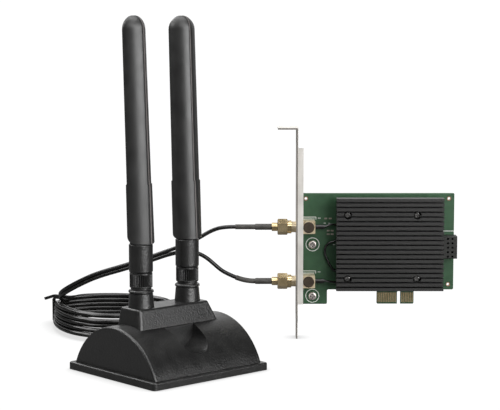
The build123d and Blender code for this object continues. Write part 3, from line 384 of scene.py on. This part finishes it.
def blade_finish(side):
    """Plastic of one blade: softly crowned, with the parting groove painted as a dark line of painted shade,
    and a painted highlight as a bright line beside it.
    """
    foot_x, foot_y, yaw = BLADE_FEET[side]
    turn, lean = math.radians(yaw), math.radians(BLADE_LEAN)
    axis = (-math.sin(lean) * math.cos(turn), -math.sin(lean) * math.sin(turn), math.cos(lean))
    low = (foot_x * MM, foot_y * MM, BLADE_LOW * MM)
    look = Finish("blade_" + side, (0.006, 0.006, 0.006), (0.010, 0.010, 0.0095), 0.42, scale=120,
                  bump=0.3, bump_scale=1500, gloss=1.0)
    tree = look.tree
    reach = vector(tree, "SUBTRACT", look.place, low)
    along = number(tree, "MINIMUM", dot(tree, reach, axis), BLADE_ROUND * MM)
    middle = add(tree, "VectorMath", {0: axis, "Scale": along}, operation="SCALE").outputs["Vector"]
    rounded = vector(tree, "MULTIPLY", vector(tree, "SUBTRACT", reach, middle), (1, BLADE_FLAT, 1))
    outward = vector(tree, "NORMALIZE", rounded)
    lit_turn = math.radians(CROWN_TURN[side])
    rotated = add(tree, "VectorRotate", {"Vector": outward, "Angle": lit_turn}, rotation_type="Z_AXIS")
    lit = rotated.outputs["Vector"]
    groove_turn = math.radians(PARTING_ANGLE)
    across = dot(tree, outward, (math.cos(groove_turn), math.sin(groove_turn), 0))
    # Painted shade: a dark, rougher line along the parting groove
    groove = number(tree, "COMPARE", across, 0.0, PARTING_HALF)
    # Painted highlight: a bright line beside the groove
    edge = number(tree, "COMPARE", across, HIGHLIGHT_LINE_OFFSET, PARTING_HALF)
    colour = blend(tree, groove, look.colour, (0.002, 0.002, 0.002, 1))
    look.set("Base Color", blend(tree, edge, colour, (0.17, 0.15, 0.145, 1)))
    look.set("Roughness", number(tree, "ADD", look.rough, number(tree, "MULTIPLY", groove, 0.6)))
    turned = add(tree, "VectorTransform", {"Vector": lit}, vector_type="NORMAL", convert_from="OBJECT",
                 convert_to="WORLD").outputs["Vector"]
    own = add(tree, "NewGeometry", {}).outputs["Normal"]
    crowned = add(tree, "Mix", {"Factor": CROWN}, data_type="VECTOR")
    tree.links.new(own, crowned.inputs[4])
    tree.links.new(turned, crowned.inputs[5])
    tree.links.new(vector(tree, "NORMALIZE", crowned.outputs[1]), look.grain.inputs["Normal"])


def painted_shade_metal(recess, *facts, **more):
    """Metal with painted shade: its colour is darkened in slots and corners, where ambient occlusion finds
    them.
    """
    look = Finish(*facts, **more)
    occlusion_shade = add(look.tree, "AmbientOcclusion", {"Distance": recess}, samples=8).outputs["AO"]
    share = spread(look.tree, occlusion_shade, 0.25, 0.8, 1.0, 0.0)
    # Painted shade: a dark brown colour mixed in where occlusion is high
    look.set("Base Color", blend(look.tree, share, look.colour, (0.02, 0.016, 0.012, 1)))


def bracket_finish():
    """Plated sheet steel with a darker sheared edge at the front of its plate."""
    look = Finish("bracket_steel", (0.74, 0.71, 0.66), (0.84, 0.81, 0.76), 0.42, metallic=0.5, scale=160,
                  bump=0.1)
    tree = look.tree
    edge = number(tree, "LESS_THAN", dot(tree, look.place, (1, 0, 0)), SHEARED_EDGE * MM)
    facing = dot(tree, add(tree, "NewGeometry", {}).outputs["Normal"], (0, -1, 0))
    sheared = number(tree, "MULTIPLY", edge, spread(tree, facing, 0.5, 0.9, 0.0, 1.0))
    look.set("Base Color", blend(tree, sheared, look.colour, (0.22, 0.20, 0.18, 1)))


def land_finish():
    """Copper ring round each corner hole, green lacquer over the rest of the land."""
    look = Finish("land_copper", (0.30, 0.15, 0.08), (0.42, 0.24, 0.14), 0.4, scale=900)
    tree = look.tree
    near = None
    for x, z in LANDS:
        away = vector(tree, "SUBTRACT", look.place, (x * MM, BOARD_FACE * MM, z * MM))
        length = add(tree, "VectorMath", {0: away}, operation="LENGTH").outputs["Value"]
        near = length if near is None else number(tree, "MINIMUM", near, length)
    lacquered = number(tree, "GREATER_THAN", near, LAND_R * MM)
    look.set("Base Color", blend(tree, lacquered, look.colour, (0.022, 0.062, 0.030, 1)))


def make_materials():
    Finish("black_plastic", (0.006, 0.006, 0.006), (0.010, 0.010, 0.0095), 0.34, scale=120, bump=1.0,
           bump_scale=1000, depth=0.16, gloss=0.8)
    Finish("foot_rubber", (0.010, 0.010, 0.010), (0.018, 0.018, 0.018), 0.7)
    painted_shade_metal(0.8 * MM, "steel", (0.74, 0.67, 0.63), (0.88, 0.81, 0.78), 0.30, metallic=1.0, scale=500)
    painted_shade_metal(1.0 * MM, "gold_brass", (0.62, 0.47, 0.25), (0.82, 0.66, 0.40), 0.17, metallic=1.0,
                  scale=260, bump=0.1)
    bracket_finish()
    Finish("board_green", (0.020, 0.068, 0.028), (0.028, 0.090, 0.038), 0.45, scale=240, bump=0.05)
    Finish("heatsink_black", (0.016, 0.0155, 0.015), (0.024, 0.0235, 0.023), 0.42, scale=1500)
    Finish("black_screw", (0.10, 0.10, 0.10), (0.34, 0.33, 0.32), 0.20, metallic=0.9, scale=900)
    Finish("jack_gold", (0.62, 0.50, 0.32), (0.80, 0.68, 0.48), 0.30, metallic=0.45, scale=400)
    Finish("cap_bronze", (0.026, 0.015, 0.007), (0.048, 0.032, 0.017), 0.45, scale=500)
    Finish("socket_black", (0.006, 0.006, 0.005), (0.018, 0.018, 0.016), 0.55, scale=900, bump=0.8,
           bump_scale=700)
    Finish("cable_jacket", (0.005, 0.005, 0.0045), (0.010, 0.0095, 0.009), 0.22, scale=200, bump=0.05,
           gloss=0.6)
    Finish("boot_sleeve", (0.034, 0.032, 0.028), (0.066, 0.062, 0.056), 0.45, scale=300)
    Finish("pad_grey", (0.30, 0.33, 0.37), (0.38, 0.41, 0.45), 0.8)
    Finish("chip_ceramic", (0.20, 0.17, 0.13), (0.42, 0.39, 0.34), 0.5, scale=600)
    Finish("print_white", (0.58, 0.62, 0.58), (0.76, 0.78, 0.74), 0.6, scale=900, bump=0.1)
    land_finish()
    for side in BLADE_FEET:
        blade_finish(side)


def paint_nodes():
    """Each node takes its slot's material, apart from the few that have their own."""
    own = {"corner_lands": "land_copper", "heatsink_screws": "black_screw", "upper_jack": "jack_gold",
           "lower_jack": "jack_gold"}
    for side in BLADE_FEET:
        own[side + "_blade_cover"] = own[side + "_knuckle"] = "blade_" + side
    for name, node in NODES.items():
        node.data.materials.clear()
        node.data.materials.append(MATERIALS[own.get(name, SLOTS[name])])


def make_floor():
    """Pale ground: white to the camera apart from a soft shadow close to the object."""
    bpy.ops.mesh.primitive_plane_add(size=FLOOR_SIZE, location=(0, 0, -FLOOR_DROP))
    floor = bpy.context.object
    floor.name = "floor"
    material = bpy.data.materials.new("floor_white")
    material.use_nodes = True
    tree = material.node_tree
    shader = tree.nodes["Principled BSDF"]
    shader.inputs["Base Color"].default_value = (FLOOR_TONE, FLOOR_TONE, FLOOR_TONE, 1)
    shader.inputs["Roughness"].default_value = 0.9
    occlusion_shade = add(tree, "AmbientOcclusion", {"Distance": SHADOW_REACH}, samples=16).outputs["AO"]
    glow = add(tree, "Emission", {"Strength": spread(tree, occlusion_shade, *SHADOW_EDGE, SHADOW_TONE, WHITE)})
    seen = add(tree, "LightPath", {}).outputs["Is Camera Ray"]
    mix = add(tree, "MixShader", {0: seen, 1: shader.outputs["BSDF"], 2: glow.outputs["Emission"]})
    tree.links.new(mix.outputs["Shader"], tree.nodes["Material Output"].inputs["Surface"])
    floor.data.materials.append(material)


def make_world():
    """Studio that is bright behind the object and dark elsewhere; the camera itself sees white."""
    world = bpy.data.worlds.new("studio")
    bpy.context.scene.world = world
    world.use_nodes = True
    tree = world.node_tree
    way = add(tree, "TexCoord", {}).outputs["Generated"]
    room = tree.nodes["Background"]
    room.inputs["Color"].default_value = (1, 1, 1, 1)
    brightness = spread(tree, dot(tree, way, ROOM_AXIS), *ROOM_EDGE, ROOM_DARK, ROOM_BRIGHT)
    tree.links.new(brightness, room.inputs["Strength"])
    backdrop = add(tree, "Background", {"Color": (1, 1, 1, 1), "Strength": WHITE})
    seen = add(tree, "LightPath", {}).outputs["Is Camera Ray"]
    mix = add(tree, "MixShader", {0: seen, 1: room.outputs["Background"], 2: backdrop.outputs["Background"]})
    tree.links.new(mix.outputs["Shader"], tree.nodes["World Output"].inputs["Surface"])


def softbox(name, place, size, power):
    data = bpy.data.lights.new(name, "AREA")
    data.shape = "RECTANGLE"
    data.size, data.size_y = size
    data.energy = power
    light = bpy.data.objects.new(name, data)
    light.location = place
    light.rotation_euler = (Vector(LAMP_AIM) - Vector(place)).to_track_quat("-Z", "Y").to_euler()
    bpy.context.scene.collection.objects.link(light)


def make_lights():
    for name, (place, size, power) in LAMPS.items():
        softbox(name, place, size, power)


make_materials()
make_camera()
paint_nodes()
make_leads()
make_strap()
make_print()
make_floor()
make_world()
make_lights()
bpy.context.scene.view_settings.view_transform = "Standard"

bpy.context.view_layer.update()
